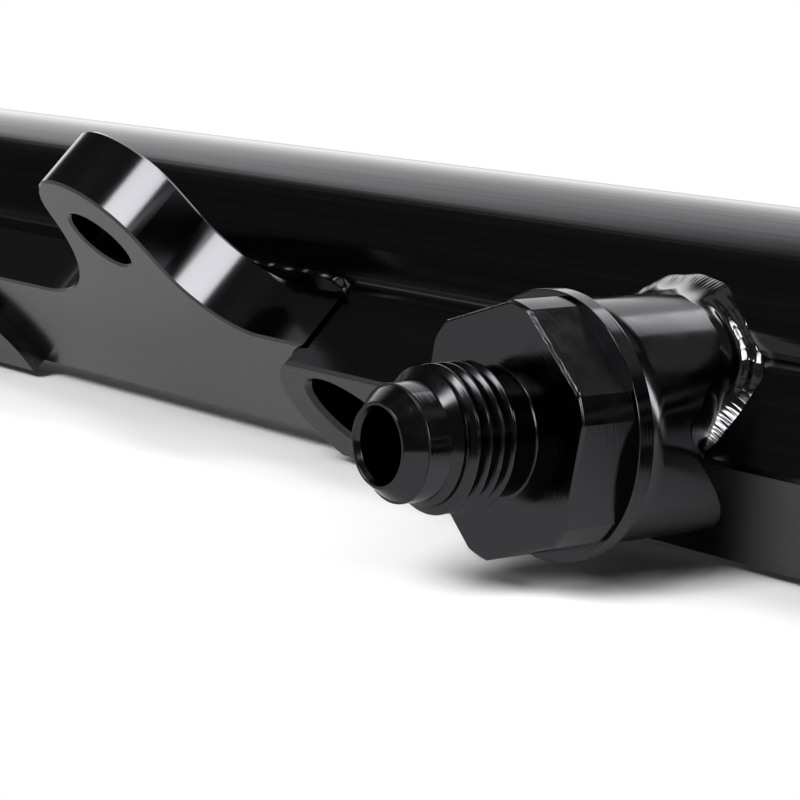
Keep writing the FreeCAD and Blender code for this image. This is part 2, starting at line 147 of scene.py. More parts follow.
def addPiece(name, grids, material, replaced, sharp=pieceMesh["sharpAngle"]):
    # grids is a list of (points, quads) whose corners join where they meet. Faces shade smoothly
    # up to the sharp angle.
    counts = np.cumsum([0] + [len(points) for points, quads in grids])
    points = np.concatenate([points for points, quads in grids]) * millimetre
    quads = np.concatenate([quads + start for (corners, quads), start in zip(grids, counts)])
    mesh = bpy.data.meshes.new(name)
    mesh.vertices.add(len(points))
    mesh.vertices.foreach_set("co", points.astype(np.float32).ravel())
    mesh.loops.add(quads.size)
    mesh.loops.foreach_set("vertex_index", quads.astype(np.int32).ravel())
    mesh.polygons.add(len(quads))
    mesh.polygons.foreach_set("loop_start", np.arange(0, quads.size, 4, dtype=np.int32))
    mesh.update(calc_edges=True)
    work = bmesh.new()
    work.from_mesh(mesh)
    bmesh.ops.remove_doubles(work, verts=work.verts, dist=pieceMesh["mergeWithin"])
    bmesh.ops.dissolve_degenerate(work, edges=work.edges, dist=pieceMesh["emptyEdge"])
    bmesh.ops.recalc_face_normals(work, faces=work.faces)
    work.to_mesh(mesh)
    work.free()
    mesh.polygons.foreach_set("use_smooth", np.ones(len(mesh.polygons), dtype=bool))
    mesh.set_sharp_from_angle(angle=math.radians(sharp))
    mesh.materials.append(material)
    piece = bpy.data.objects.new(name, mesh)
    bpy.context.scene.collection.objects.link(piece)
    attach(piece, "root")
    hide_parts(*replaced)
    print(name, len(mesh.polygons), "faces")


def roundedProfile(corners, breaks, steps=5, guardReach=0.02):
    # Each corner of an open line is rounded by a parabola that starts and ends its break away:
    # (1-s)^2 of the start, 2s(1-s) of the corner and s^2 of the end, for all corners at once.
    # A guard point, guardReach outside each rounding, keeps the shading of the flats level.
    corners = np.asarray(corners, float)
    before = np.roll(corners, 1, axis=0) - corners
    after = np.roll(corners, -1, axis=0) - corners
    before /= np.maximum(np.linalg.norm(before, axis=1, keepdims=True), 1e-9)
    after /= np.maximum(np.linalg.norm(after, axis=1, keepdims=True), 1e-9)
    cut = np.asarray(breaks, float)[:, None]
    guard = cut + guardReach * (cut > 0)
    start, end = corners + before * cut, corners + after * cut
    s = np.linspace(0, 1, steps + 1)[None, :, None]
    curve = (
        (1 - s) ** 2 * start[:, None]
        + 2 * s * (1 - s) * corners[:, None]
        + s ** 2 * end[:, None]
    )
    outside = (corners + before * guard)[:, None], (corners + after * guard)[:, None]
    return np.concatenate([outside[0], curve, outside[1]], axis=1).reshape(-1, 2)


def placePort(x, y, along):
    # From the inlet's own frame to the part's: the aim plus each coordinate times its axis.
    local = np.stack(np.broadcast_arrays(x, y, along), -1).reshape(-1, 3)
    return portAim + local @ portAxes


def aroundPort(radius, turn, along):
    # Points given round the inlet's axis: radius times cosine, radius times sine, and along it.
    return placePort(radius * np.cos(turn), radius * np.sin(turn), along)


# Patterns are given as noise cells a millimetre, and their depths in millimetres.
extrusionFinish = {
    "lineDark": "#262628",
    "lineLight": "#474749",
    "edgeTint": "#cfcfcf",
    "lines": (0.005, 2.2, 2.2),  # die lines 0.45 mm apart, which run along the rail
    "lineDetail": 3.0,
    "lineStrength": 0.45,
    "lineDepth": 0.03,
    "bands": (0.003, 0.26, 0.26),  # duller bands 4 mm wide
    "bandDetail": 2.0,
    "roughness": 0.16,
    "roughnessShare": (0.7, 1.3),  # in the brightest and in the dullest places
}


def extrudedAluminium(values):
    # Aluminium extrusion, bright dipped and black anodised: die lines run along it, so its
    # highlights break into fine streaks.
    material, tree, output = newMaterial("blackAnodisedExtrusion")
    place = addNode(tree, "ShaderNodeTexCoord").outputs["Object"]
    lines = addNode(tree, "ShaderNodeMapping", {
        "Vector": place,
        "Scale": tuple(count / millimetre for count in values["lines"]),
    })
    fine = addNode(tree, "ShaderNodeTexNoise", {
        "Vector": lines.outputs[0],
        "Scale": 1.0,
        "Detail": values["lineDetail"],
    })
    broad = addNode(tree, "ShaderNodeMapping", {
        "Vector": place,
        "Scale": tuple(count / millimetre for count in values["bands"]),
    })
    bands = addNode(tree, "ShaderNodeTexNoise", {
        "Vector": broad.outputs[0],
        "Scale": 1.0,
        "Detail": values["bandDetail"],
    })
    rough = addNode(tree, "ShaderNodeMapRange", {
        "Value": bands.outputs[0],
        "To Min": values["roughness"] * values["roughnessShare"][0],
        "To Max": values["roughness"] * values["roughnessShare"][1],
    })
    bump = addNode(tree, "ShaderNodeBump", {
        "Height": fine.outputs[0],
        "Strength": values["lineStrength"],
        "Distance": values["lineDepth"] * millimetre,
    })
    tone = addNode(tree, "ShaderNodeMix", {
        "Factor": fine.outputs[0],
        "A": linearColour(values["lineDark"]),
        "B": linearColour(values["lineLight"]),
    }, data_type="RGBA")
    shader = addNode(tree, "ShaderNodeBsdfPrincipled", {
        "Base Color": tone.outputs["Result"],
        "Metallic": 1.0,
        "Specular Tint": linearColour(values["edgeTint"]),
        "Roughness": rough.outputs[0],
        "Normal": bump.outputs[0],
    })
    tree.links.new(shader.outputs[0], output.inputs[0])
    return material


plateFinish = {
    "skin": "#424244",
    "edgeTint": "#dddddd",
    "grain": 3.5,  # grain 0.3 mm across
    "grainDetail": 2.0,
    "grainStrength": 0.1,
    "grainDepth": 0.02,
    "cloud": 0.09,  # clouds 11 mm across
    "cloudDetail": 3.0,
    "roughness": 0.16,
    "roughnessShare": (0.9, 1.1),
}


def milledAluminium(values):
    # Aluminium plate, milled, then etched and black anodised: an even satin with a fine grain.
    # It reflects a little more than the polished parts.
    material, tree, output = newMaterial("blackAnodisedPlate")
    place = addNode(tree, "ShaderNodeTexCoord").outputs["Object"]
    grain = addNode(tree, "ShaderNodeTexNoise", {
        "Vector": place,
        "Scale": values["grain"] / millimetre,
        "Detail": values["grainDetail"],
    })
    cloud = addNode(tree, "ShaderNodeTexNoise", {
        "Vector": place,
        "Scale": values["cloud"] / millimetre,
        "Detail": values["cloudDetail"],
    })
    rough = addNode(tree, "ShaderNodeMapRange", {
        "Value": cloud.outputs[0],
        "To Min": values["roughness"] * values["roughnessShare"][0],
        "To Max": values["roughness"] * values["roughnessShare"][1],
    })
    bump = addNode(tree, "ShaderNodeBump", {
        "Height": grain.outputs[0],
        "Strength": values["grainStrength"],
        "Distance": values["grainDepth"] * millimetre,
    })
    shader = addNode(tree, "ShaderNodeBsdfPrincipled", {
        "Base Color": linearColour(values["skin"]),
        "Metallic": 1.0,
        "Specular Tint": linearColour(values["edgeTint"]),
        "Roughness": rough.outputs[0],
        "Normal": bump.outputs[0],
    })
    tree.links.new(shader.outputs[0], output.inputs[0])
    return material


turnedFinish = {
    "skin": "#38383a",
    "edgeTint": "#cfcfcf",
    "marks": 4.6,  # tool marks 0.1 to 0.2 mm apart
    "markDetail": 2.0,
    "markDepth": 0.02,
    "markStrength": {"fitting": 0.45, "bung": 0.2, "plug": 0.3},
    "stains": 0.42,  # stains 2 mm across
    "stainDetail": 3.0,
    "stainFrom": (0.35, 0.7),  # levels of the noise between which a stain comes up
    "roughness": 0.15,
    "roughnessShare": (0.8, 1.5),
}


def turnedAluminium(name, piece, axis, centre, values):
    # Bar stock, turned on a lathe and black anodised: nearly a mirror, with tool marks that run
    # round it. The marks follow the distance along the axis less the radius, so they show on
    # cylinders and on faces. Faint stains a few millimetres across dull it here and there.
    material, tree, output = newMaterial(name)
    place = addNode(tree, "ShaderNodeTexCoord").outputs["Object"]
    offset = addNode(tree, "ShaderNodeVectorMath", {
        0: place,
        1: tuple(centre),
    }, operation="SUBTRACT")
    along = addNode(tree, "ShaderNodeVectorMath", {
        0: offset.outputs[0],
        1: tuple(axis),
    }, operation="DOT_PRODUCT")
    across = addNode(tree, "ShaderNodeVectorMath", {
        0: offset.outputs[0],
        1: tuple(axis),
    }, operation="CROSS_PRODUCT")
    radius = addNode(tree, "ShaderNodeVectorMath", {0: across.outputs[0]}, operation="LENGTH")
    track = addNode(tree, "ShaderNodeMath", {
        0: along.outputs["Value"],
        1: radius.outputs["Value"],
    }, operation="SUBTRACT")
    marks = addNode(tree, "ShaderNodeTexNoise", {
        "W": track.outputs[0],
        "Scale": values["marks"] / millimetre,
        "Detail": values["markDetail"],
    }, noise_dimensions="1D")
    bump = addNode(tree, "ShaderNodeBump", {
        "Height": marks.outputs[0],
        "Strength": values["markStrength"][piece],
        "Distance": values["markDepth"] * millimetre,
    })
    stains = addNode(tree, "ShaderNodeTexNoise", {
        "Vector": place,
        "Scale": values["stains"] / millimetre,
        "Detail": values["stainDetail"],
    })
    rough = addNode(tree, "ShaderNodeMapRange", {
        "Value": stains.outputs[0],
        "From Min": values["stainFrom"][0],
        "From Max": values["stainFrom"][1],
        "To Min": values["roughness"] * values["roughnessShare"][0],
        "To Max": values["roughness"] * values["roughnessShare"][1],
    })
    shader = addNode(tree, "ShaderNodeBsdfPrincipled", {
        "Base Color": linearColour(values["skin"]),
        "Metallic": 1.0,
        "Specular Tint": linearColour(values["edgeTint"]),
        "Roughness": rough.outputs[0],
        "Normal": bump.outputs[0],
    })
    tree.links.new(shader.outputs[0], output.inputs[0])
    return material


weldFinish = {
    "skin": "#505052",
    "roughness": 0.12,
    "uneven": 0.9,  # waves 1 mm across
    "unevenDetail": 2.0,
    "unevenStrength": 0.2,
    "unevenDepth": 0.05,
}


def weldMetal(values):
    # Filler metal as it froze, anodised with the rest: smooth, bright and slightly uneven.
    material, tree, output = newMaterial("blackAnodisedWeld")
    place = addNode(tree, "ShaderNodeTexCoord").outputs["Object"]
    uneven = addNode(tree, "ShaderNodeTexNoise", {
        "Vector": place,
        "Scale": values["uneven"] / millimetre,
        "Detail": values["unevenDetail"],
    })
    bump = addNode(tree, "ShaderNodeBump", {
        "Height": uneven.outputs[0],
        "Strength": values["unevenStrength"],
        "Distance": values["unevenDepth"] * millimetre,
    })
    shader = addNode(tree, "ShaderNodeBsdfPrincipled", {
        "Base Color": linearColour(values["skin"]),
        "Metallic": 1.0,
        "Roughness": values["roughness"],
        "Normal": bump.outputs[0],
    })
    tree.links.new(shader.outputs[0], output.inputs[0])
    return material


rubberFinish = {
    "skin": "#191919",
    "roughness": (0.5, 0.65),
    "bloom": 0.7,  # bloom 1.4 mm across
    "bloomDetail": 2.0,
}


def sealRubber(values):
    # Moulded nitrile rubber: dark, matt, with a faint mould bloom.
    material, tree, output = newMaterial("mouldedNitrile")
    place = addNode(tree, "ShaderNodeTexCoord").outputs["Object"]
    bloom = addNode(tree, "ShaderNodeTexNoise", {
        "Vector": place,
        "Scale": values["bloom"] / millimetre,
        "Detail": values["bloomDetail"],
    })
    rough = addNode(tree, "ShaderNodeMapRange", {
        "Value": bloom.outputs[0],
        "To Min": values["roughness"][0],
        "To Max": values["roughness"][1],
    })
    shader = addNode(tree, "ShaderNodeBsdfPrincipled", {
        "Base Color": linearColour(values["skin"]),
        "Roughness": rough.outputs[0],
    })
    tree.links.new(shader.outputs[0], output.inputs[0])
    return material


portWay = portAxes[2]
aimMetres = portAim * millimetre
railWay = (1.0, 0.0, 0.0)
galleryMetres = (0.0, railSection["row"] * millimetre, railSection["galleryZ"] * millimetre)

railMetal = extrudedAluminium(extrusionFinish)
plateMetal = milledAluminium(plateFinish)
fittingMetal = turnedAluminium(
    "blackAnodisedTurning", "fitting", portWay, aimMetres, turnedFinish)
bungMetal = turnedAluminium("blackAnodisedBung", "bung", portWay, aimMetres, turnedFinish)
plugMetal = turnedAluminium("blackAnodisedPlug", "plug", railWay, galleryMetres, turnedFinish)
beadMetal = weldMetal(weldFinish)
rubber = sealRubber(rubberFinish)

for name, material in {
    "rail_body": railMetal,
    "bracket_left": plateMetal,
    "bracket_right": plateMetal,
    "end_plug_left": plugMetal,
    "end_plug_right": plugMetal,
    "inlet_o_ring": rubber,
    "end_plug_left_o_ring": rubber,
    "end_plug_right_o_ring": rubber,
}.items():
    for slot in nodes[name].material_slots:
        slot.material = material
print("materials set")


# Radii, and places along the inlet's axis from the aim. A list of breaks has one for each corner
# of its profile.
adapter = {
    "bore": 3.75,
    "lip": 3.42,
    "lipDepth": 0.56,
    "lipEnd": 3.0,  # this and lipDepth are behind the tip
    "lipRamp": 0.35,
    "nose": 4.05,
    "flareBase": 5.45,
    "flareStart": 42.54,
    "tip": 44.4,
    "collar": 5.65,
    "frontBreaks": [0, 0, 0, 0.05, 0.08, 0.07, 0.05, 0.07, 0],
    "threadTop": 40.04,
    "threadEnd": 32.6,
    "pitch": 1.411,
    "crest": 7.1,
    "root": 6.23,
    "threadFlanks": [(0, 0), (0.1, 0), (0.61, 1), (0.8, 1), (1.31, 0)],  # along, share of depth
    "threadBreaks": [0, 0.04, 0.07, 0.07, 0.04, 0],
    "threadSteps": 3,
    "leadSlope": 1.1,
    "neck": 6.1,
    "neckBreak": 0.35,
    "hexFront": 30.3,
    "hexBack": 24.0,
    "hexFlats": 23.6,  # across its flats
    "hexCorner": 12.9,  # radius to which its corners are turned off
    "hexTurn": 17.0,  # degrees
    "hexSamples": {"corner": 5, "flat": 33},
    "bevelSteps": [
        # inset from the hexagon, distance back from its face
        (0.55, 0), (0.3, 0), (0.21, 0.06), (0.19, 0.11),
        (0.11, 0.16), (0.09, 0.21), (0, 0.3), (0, 0.35),
    ],
    "flatsGuard": 0.05,  # a row of points this far from the flange keeps the flats' shading level
    "faceEdge": 1.2,
    "flangeFace": 13.0,
    "flange": 13.25,
    "flangeBack": 22.2,
    "shank": 9.42,
    "shankNeck": 8.2,
    "shankNeckEnd": 19.9,
    "shankEnd": 9.6,
    "rearBreaks": [0, 0.12, 0.15, 0.1, 0, 0, 0, 0],
    "sharpAngle": 20,  # degrees
}


def hexAngles(values):
    # Angles round the axis, in six equal sectors, with samples exactly on the hexagon's corners
    # and where they are turned off.
    turnedOff = 30 - math.degrees(math.acos(values["hexFlats"] / 2 / values["hexCorner"]))
    corner, flat = values["hexSamples"]["corner"], values["hexSamples"]["flat"]
    sector = np.concatenate([
        np.linspace(0, turnedOff, corner)[:-1],
        np.linspace(turnedOff, 60 - turnedOff, flat)[:-1],
        np.linspace(60 - turnedOff, 60, corner)[:-1],
    ])
    return np.radians(values["hexTurn"] + np.concatenate([sector + 60 * k for k in range(6)]))


def hexReach(values, angles, inset):
    # Distance to the hexagon's edge, half its flats over the cosine of the angle from the flat's
    # middle, or to its turned corner if that is nearer.
    turn = np.radians(values["hexTurn"] + 30)
    fromMiddle = np.mod(angles - turn + math.pi / 6, math.pi / 3) - math.pi / 6
    edge = (values["hexFlats"] / 2 - inset) / np.cos(fromMiddle)
    return np.minimum(edge, values["hexCorner"] - inset)


def turnedGrid(profile, angles, closed=False):
    # A profile of (radius, distance along the axis) carried round the axis. A closed profile is
    # one whose last point joins its first.
    radius, along = np.asarray(profile, float).T[:, :, None]
    cells = gridQuads(len(profile), len(angles), wrapRows=closed, wrapColumns=True)
    return aroundPort(radius, angles, along), cells


def threadGrid(values, angles):
    # One pitch of thread profile carried along a helix: the height falls by one pitch a turn.
    # The radius is kept under a lead-in at the front and a run-out at the neck.
    deep = values["crest"] - values["root"]
    corners = [(place, share * deep) for place, share in values["threadFlanks"]]
    pitchProfile = roundedProfile(
        corners + [(values["pitch"], 0)], values["threadBreaks"], values["threadSteps"])
    turns = int((values["threadTop"] - values["threadEnd"]) / values["pitch"]) + 2
    wholeTurns = [angles + 2 * math.pi * k for k in range(turns)]
    sweep = np.concatenate(wholeTurns + [angles[:1] + 2 * math.pi * turns])
    fall = values["pitch"] * (sweep - sweep[0]) / (2 * math.pi)
    along = values["threadTop"] + values["pitch"] - fall[:, None] - pitchProfile[None, :, 0]
    along = np.clip(along, values["threadEnd"], values["threadTop"])
    radius = values["root"] + pitchProfile[None, :, 1] + 0 * along
    leadIn = values["collar"] + (values["threadTop"] - along) * values["leadSlope"]
    runOut = values["neck"] + (along - values["threadEnd"]) * values["leadSlope"]
    radius = np.minimum(radius, np.minimum(leadIn, runOut))
    return aroundPort(radius, sweep[:, None], along), gridQuads(*along.shape)


def hexGrid(values, angles):
    # Rows of the hexagon as (inset from its outline, distance back from its front face): the
    # ridged bevel that the tool left round the front, then straight along the flats to the flange.
    length = values["hexFront"] - values["hexBack"]
    rows = values["bevelSteps"] + [(0, length - values["flatsGuard"]), (0, length)]
    radius = np.stack([hexReach(values, angles, inset) for inset, back in rows])
    along = np.stack([values["hexFront"] - back + 0 * angles for inset, back in rows])
    return aroundPort(radius, angles, along), gridQuads(len(rows), len(angles), wrapColumns=True)


def ringBetween(first, second, along, angles):
    # A flat face between two outlines at one place along the axis.
    radius = np.stack([first + 0 * angles, second + 0 * angles])
    return aroundPort(radius, angles, along), gridQuads(2, len(angles), wrapColumns=True)


def makeAdapter(values):
    # Bore, countersunk lip, flare and collar; helical thread; neck and hexagon; flange and shank.
    angles = hexAngles(values)
    faceRim = values["hexFlats"] / 2 - values["faceEdge"]
    lipBack = values["tip"] - values["lipEnd"]
    front = roundedProfile([
        (values["bore"], values["shankEnd"]),
        (values["bore"], lipBack - values["lipRamp"]),
        (values["lip"], lipBack),
        (values["lip"], values["tip"] - values["lipDepth"]),
        (values["bore"], values["tip"]),
        (values["nose"], values["tip"]),
        (values["flareBase"], values["flareStart"]),
        (values["collar"], values["flareStart"]),
        (values["collar"], values["threadTop"]),
    ], values["frontBreaks"])
    neck = roundedProfile([
        (values["neck"], values["threadEnd"]),
        (values["neck"], values["hexFront"]),
        (faceRim, values["hexFront"]),
    ], [0, values["neckBreak"], 0])
    rear = roundedProfile([
        (values["flangeFace"], values["hexBack"]),
        (values["flange"], values["hexBack"]),
        (values["flange"], values["flangeBack"]),
        (values["shankNeck"], values["flangeBack"]),
        (values["shankNeck"], values["shankNeckEnd"]),
        (values["shank"], values["shankNeckEnd"]),
        (values["shank"], values["shankEnd"]),
        (values["bore"], values["shankEnd"]),
    ], values["rearBreaks"])
    outer = hexReach(values, angles, 0)
    inner = hexReach(values, angles, values["bevelSteps"][0][0])
    grids = [
        turnedGrid(front, angles),
        threadGrid(values, angles),
        turnedGrid(neck, angles),
        ringBetween(faceRim, inner, values["hexFront"], angles),
        hexGrid(values, angles),
        ringBetween(outer, values["flangeFace"], values["hexBack"], angles),
        turnedGrid(rear, angles),
    ]
    addPiece("hoseAdapter", grids, fittingMetal, ["inlet_adapter"],
             sharp=values["sharpAngle"])


makeAdapter(adapter)


bung = {
    "outer": 12.0,
    "seat": 4.9,
    "seatBreak": 0.1,
    "mouth": 21.8,
    "rim": 1.5,  # how far the rounded rim comes in, and rimLength how far down
    "rimLength": 2.3,
    "rimSamples": 17,
    "throat": 10.4,
    "throatEnd": 19.6,
    "thread": 9.5,
    "threadEnd": 8.3,
    "drill": 5.0,
    "turnStep": 1.5,  # degrees
}


def makeBung(values):
    # A turned ring whose rim is a quarter of an ellipse; its outline closes on itself.
    angles = np.radians(np.arange(0, 360, values["turnStep"]))
    wall = roundedProfile([
        (values["drill"], values["seat"]),
        (values["outer"], values["seat"]),
        (values["outer"], values["mouth"] - values["rimLength"]),
    ], [0, values["seatBreak"], 0])
    s = np.linspace(0, math.pi / 2, values["rimSamples"])
    rim = np.stack([
        values["outer"] - values["rim"] * (1 - np.cos(s)),
        values["mouth"] - values["rimLength"] * (1 - np.sin(s)),
    ], -1)
    inside = np.array([
        (values["throat"], values["mouth"]),
        (values["throat"], values["throatEnd"]),
        (values["thread"], values["throatEnd"]),
        (values["thread"], values["threadEnd"]),
        (values["drill"], values["threadEnd"]),
    ])
    grid = turnedGrid(np.concatenate([wall, rim[1:], inside]), angles, closed=True)
    addPiece("inletBung", [grid], bungMetal, ["inlet_bung"])


makeBung(bung)


# What both kinds of weld bead share.
beadShape = {
    "across": 20,  # cells across the crown
    "sunk": (0.05, 0.35),  # how far its two edges go under the walls
    "back": 0.5,  # how far its back lies inside the metal
    "rippleFade": 0.35,  # shares of the way across
    "edgeFade": 0.15,
    "rippleSwell": (0.35, 2.3),  # how much the ripples' height varies, and how fast
    "swell": [(0.04, 1.7, 0), (0.03, 0.9, 2)],  # the same for its width, with a shift
    "sharpAngle": 60,  # degrees
}

# Pairs in a list are a distance along the seam and what the bead has there.
inletBead = {
    "up": 3.3,  # how far it climbs the first wall
    "out": 1.85,  # how far it reaches over the second wall
    "low": 0.32,  # share of its climb at which the dip bottoms
    "bulge": (0.95, 0.95),
    "spacing": [(0, 0.38), (4, 0.45), (6, 0.9), (10, 1.25), (17, 1.25), (20, 0.45)],
    "rippleHeight": 0.05,
    "rippleStart": [(0, 0.35), (15, 0.35), (19, 0.58)],  # share of the way across
    "valleys": [
        # place across the bead, depth, then its share at distances along the seam
        (0.44, 0.42, [(0, 0), (6, 0), (9, 1), (17, 1), (19.5, 0)]),
        (0.8, 0.37, [(0, 0), (7, 0), (9, 1), (17, 1), (19.5, 0)]),
    ],
    "valleyWide": 0.085,  # share of the way across
    "groove": 0.4,  # under 1 makes the ripples' crests broad and the grooves narrow
    "crescent": 0.45,  # ripples that a crest bows back at its edges
    "narrowEnd": 0.4,  # share of the foot's width that the ends keep
    "narrowOver": 12.0,
    "taper": 1.8,  # length of its rounded ends
    "samples": 1100,
    "bridge": 85,  # samples each way over which the seam is smoothed
    "edgeGap": 0.02,  # radians from the rail's lower edge
}


def railFront(values):
    # Points of the rail's section from its underside up the front flank, the hollow and the tube.
    row, half = values["row"], values["blockHalf"]
    fillet, tube = values["filletRadius"], values["tubeRadius"]
    samples, underside = values["samples"], values["underside"]
    below = math.sqrt((tube + fillet) ** 2 - (half + fillet) ** 2)
    filletCentre = np.array([row - half - fillet, values["galleryZ"] - below])
    touch = math.atan2(below, half + fillet)
    under = np.stack([
        np.linspace(row + half, row - half, samples["under"]),
        np.full(samples["under"], underside),
    ], -1)
    flank = np.stack([
        np.full(samples["flank"], row - half),
        np.linspace(underside, filletCentre[1], samples["flank"]),
    ], -1)
    turn = np.linspace(0, touch, samples["hollow"])
    hollow = filletCentre + fillet * np.stack([np.cos(turn), np.sin(turn)], -1)
    turn = np.linspace(math.pi + touch, math.pi / 2, samples["crown"])
    crown = np.array([row, values["galleryZ"]]) + tube * np.stack([np.cos(turn), np.sin(turn)], -1)
    return np.concatenate([under[:-1], flank[:-1], hollow[:-1], crown])


def valuesAlong(pairs, run):
    # What is given at a few distances along the seam, read at every distance between them.
    places, levels = np.array(pairs, float).T
    return np.interp(run, places, levels)


def smoothStep(share):
    # Rises from 0 to 1 with level ends: three times the square less twice the cube.
    return share ** 2 * (3 - 2 * share)


def beadGrid(seam, firstNormal, secondNormal, firstWay, secondWay, values):
    # Across the bead runs a cubic curve: (1-t)^3, 3t(1-t)^2, 3t^2(1-t) and t^3 of its four control
    # points. It leaves the first wall along it, dips like a fillet, bulges and falls into the
    # second wall. Along it, each ripple is a half sine wave whose crest bows back at both edges,
    # and the ripples fade out in the dip. Towards both ends the bead's foot on the second wall
    # narrows. Bell-shaped valleys run along it, each over its own part of the seam.
    step = np.linalg.norm(np.diff(seam, axis=0), axis=1)
    run = np.concatenate([[0], np.cumsum(step)])
    fromEnd = np.minimum(run, run[-1] - run)
    beat = np.concatenate([[0], np.cumsum(step / valuesAlong(values["spacing"], run[1:]))])
    t = np.linspace(0, 1, beadShape["across"] + 1)[None, :]
    phase = beat[:, None] + values["crescent"] * (2 * t - 1) ** 2
    swell = sum(size * np.sin(run * rate + shift) for size, rate, shift in beadShape["swell"])
    uneven = 1 + swell[:, None]
    start = valuesAlong(values["rippleStart"], run)[:, None]
    share = smoothStep(np.clip((t - start) / beadShape["rippleFade"], 0, 1))
    share = share * np.clip((1 - t) / beadShape["edgeFade"], 0, 1)
    swellSize, swellRate = beadShape["rippleSwell"]
    depth = values["rippleHeight"] * (1 + swellSize * np.sin(beat * swellRate)[:, None])
    relief = np.abs(np.sin(math.pi * phase)) ** values["groove"] * depth * share
    for place, deep, shares in values["valleys"]:
        bell = np.exp(-0.5 * ((t - place) / values["valleyWide"]) ** 2)
        relief = relief - deep * bell * valuesAlong(shares, run)[:, None]
    cap = np.sqrt(1 - (1 - np.clip(fromEnd / values["taper"], 0, 1)) ** 2)[:, None]
    wide = smoothStep(np.clip(fromEnd / values["narrowOver"], 0, 1))[:, None]
    foot = values["narrowEnd"] + (1 - values["narrowEnd"]) * wide
    firstSunk, secondSunk = beadShape["sunk"]
    corners = [
        (values["up"], -firstSunk),
        (values["up"] * values["low"], 0),
        values["bulge"],
        (-secondSunk, values["out"]),
    ]
    weights = (1 - t) ** 3, 3 * (1 - t) ** 2 * t, 3 * (1 - t) * t ** 2, t ** 3
    rise = sum(weight * corner[0] for weight, corner in zip(weights, corners))
    reach = sum(weight * corner[1] for weight, corner in zip(weights, corners))
    a = ((rise * uneven + relief * lean) * cap)[..., None]
    b = ((reach * uneven * foot + relief * lean) * cap)[..., None]
    crown = seam[:, None] + a * firstWay[:, None] + b * secondWay[:, None]
    outwards = (firstNormal + secondNormal)[:, None]
    back = seam[:, None] - beadShape["back"] * cap[..., None] * outwards
    points = np.concatenate([crown, back], axis=1)
    rows, columns = points.shape[:2]
    return points.reshape(-1, 3), gridQuads(rows, columns, wrapColumns=True)


def smoothed(line, reach):
    # Running mean over a number of samples each way, with the ends held.
    padded = np.concatenate([np.full(reach, line[0]), line, np.full(reach, line[-1])])
    return np.convolve(padded, np.ones(2 * reach + 1) / (2 * reach + 1), mode="valid")


def unit(vectors):
    # Each vector over its own length.
    return vectors / np.linalg.norm(vectors, axis=1, keepdims=True)


def turnedTowards(vectors, way):
    # Each vector, or its opposite where it points away from the way given.
    return vectors * np.sign(np.sum(vectors * way, axis=1, keepdims=True))


def makeInletBead(values):
    # The seam is where the bung's wall meets the rail: for each angle round the bung, its height
    # over the inlet's axis gives the distance along that axis from the rail's section. The bead
    # bridges the hollow of the section, so that distance is smoothed.
    outline = railFront(railSection) - portAim[1:]
    height = (outline[:, 1] - outline[:, 0]) * lean
    distance = -(outline[:, 0] + outline[:, 1]) * lean
    order = np.argsort(height)
    height, distance = height[order], distance[order]
    corner = (railSection["underside"] - portAim[2] + railSection["blockHalf"]) * lean
    low = math.asin(corner / bung["outer"]) + values["edgeGap"]
    turn = np.linspace(low, math.pi - low, values["samples"])
    up = bung["outer"] * np.sin(turn)
    out = smoothed(np.interp(up, height, distance), values["bridge"])
    seam = aroundPort(bung["outer"], turn, out)
    slope = smoothed(np.interp(up, height, np.gradient(distance, height)), values["bridge"])
    railNormal = unit(np.stack([0 * up, -slope, np.ones_like(up)], -1) @ portAxes)
    wallNormal = np.stack([np.cos(turn), np.sin(turn), 0 * turn], -1) @ portAxes
    along = unit(np.gradient(seam, axis=0))
    onWall = turnedTowards(np.cross(along, wallNormal), portWay)
    onRail = turnedTowards(np.cross(along, railNormal), wallNormal)
    grid = beadGrid(seam, wallNormal, railNormal, onWall, onRail, values)
    addPiece("inletBead", [grid], beadMetal, ["inlet_bung_weld"],
             sharp=beadShape["sharpAngle"])


makeInletBead(inletBead)


armBead = {
    "armTop": 8.4,  # height of the arm's back
    "boltX": 82.1,
    "inward": 28.2,
    "outward": 22.0,
    "up": 2.6,
    "out": 2.6,
    "low": 0.45,
    "bulge": (1.5, 2.4),
    "spacing": [(0, 2.4), (50, 2.4)],
    "rippleHeight": 0.08,
    "rippleStart": [(0, 0.3), (50, 0.3)],
    "valleys": [],
    "groove": 0.7,
    "crescent": 0.4,
    "narrowEnd": 1.0,
    "narrowOver": 1.0,
    "taper": 3.0,
    "samples": 500,
}


def makeArmBead(name, side, replaced, values):
    # A coarser bead along the corner between the back of the arm and the rail's flank.
    inner, outer = values["boltX"] - values["inward"], values["boltX"] + values["outward"]
    x = np.linspace(side * inner, side * outer, values["samples"])
    flank = railSection["row"] - railSection["blockHalf"]
    seam = np.stack([x, flank + 0 * x, values["armTop"] + 0 * x], -1)
    outward = np.tile([0.0, -1.0, 0.0], (len(x), 1))
    upward = np.tile([0.0, 0.0, 1.0], (len(x), 1))
    grid = beadGrid(seam, upward, outward, outward, upward, values)
    addPiece(name, [grid], beadMetal, [replaced],
             sharp=beadShape["sharpAngle"])


makeArmBead("armBeadLeft", -1, "bracket_left_weld", armBead)
makeArmBead("armBeadRight", 1, "bracket_right_weld", armBead)
print("pieces made")


# The part lies on its side in the photograph, so the studio uses the inlet's frame: its second
# axis is up from the table. Compass angles run from the inlet's axis, 0, to the rail's near
# end, 90.
table = {
    "paper": "#f8f8f8",
    "drop": 16.3,  # below the inlet's axis
    "front": 104.0,  # where the sheet ends in front of the fitting
    "corner": -18.0,  # along the rail, where that edge starts
    "far": 2500.0,
    "railMiddle": -3.0,  # how far out of the aim the rail's middle lies
    "fadeFront": (27.0, 45.0),  # from the rail's middle, over which the paper turns white
    "fadeEnds": (190.0, 240.0),  # the same along the rail
}

